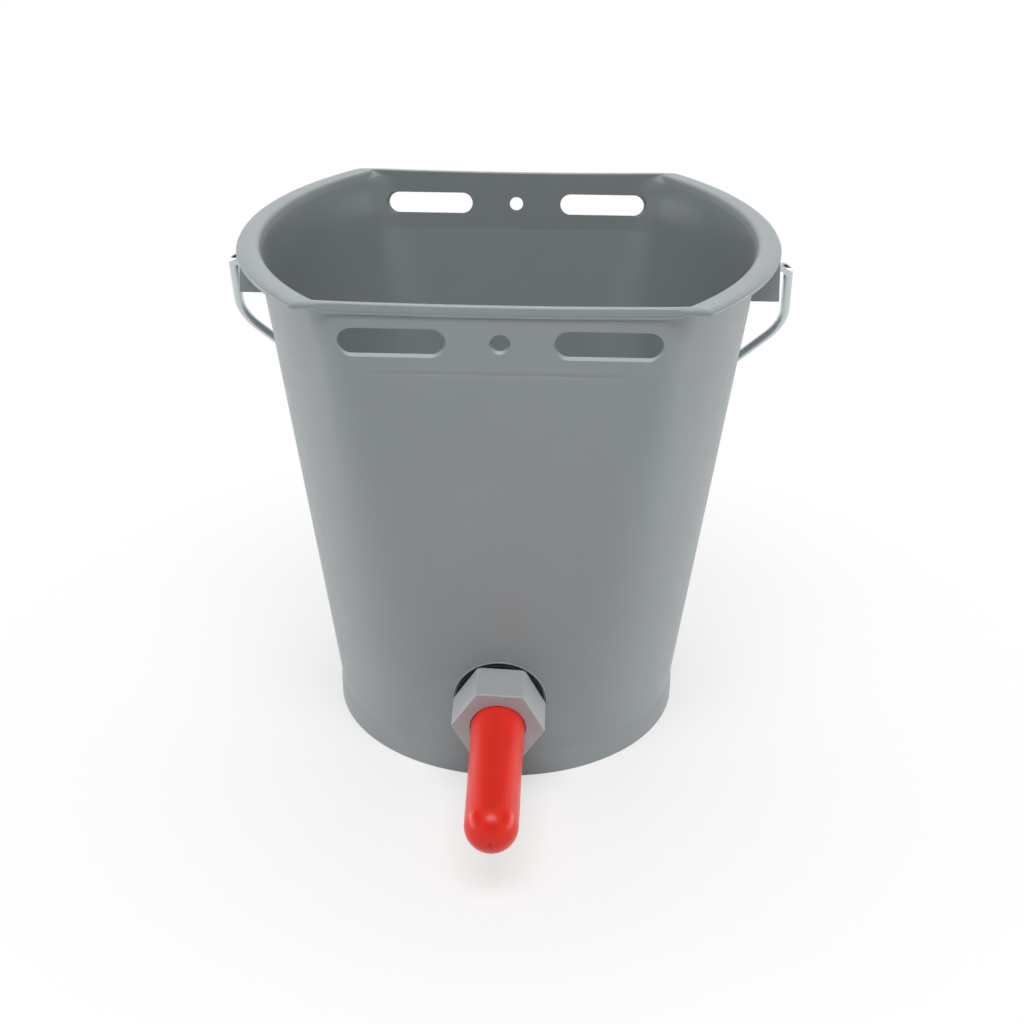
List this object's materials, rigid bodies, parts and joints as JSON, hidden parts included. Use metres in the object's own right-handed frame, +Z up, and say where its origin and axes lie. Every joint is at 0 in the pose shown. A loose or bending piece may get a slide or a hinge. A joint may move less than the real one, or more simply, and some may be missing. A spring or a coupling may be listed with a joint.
{
  "type": "calf feeder bucket",
  "caption": "Oval calf feeder bucket with flat front and back, hanging slots, a rolled rim, a hinged wire bail and a screw-in ball valve that carries a rubber teat.",
  "frame": {"origin": "middle of the foot ring, on the floor", "axes": "+Z up, the teat points to -Y, the bail hangs on +Y, +X to the right seen from the teat"},
  "size_m": [0.2826, 0.304, 0.256],
  "materials": {
    "bucket": "moulded grey polypropylene",
    "bail": "zinc-plated wire",
    "valve_body": "moulded light grey",
    "inner_gasket": "black",
    "seal_ring": "black",
    "ball_retainer": "moulded off-white",
    "valve_ball": "smooth white",
    "teat_nut": "moulded light grey",
    "teat": "red, satin"
  },
  "bodies": {
    "bucket": {"bucket": "bucket", "valve_body": "valve_body", "inner_gasket": "inner_gasket", "seal_ring": "seal_ring", "ball_retainer": "ball_retainer", "teat_nut": "teat_nut", "teat": "teat"},
    "bail": {"bail": "bail"},
    "ball": {"valve_ball": "valve_ball"}
  },
  "joints": [
    {"name": "bail_hinge", "type": "hinge", "parent": "bucket", "child": "bail", "pos_m": [0, 0, 0.2396], "axis": [1, 0, 0], "range_deg": [0, 280.4]},
    {"name": "ball_slide", "type": "slide", "parent": "bucket", "child": "ball", "axis": [0, 0.9947, 0.1026], "range_m": [0, 0.0036]}
  ]
}
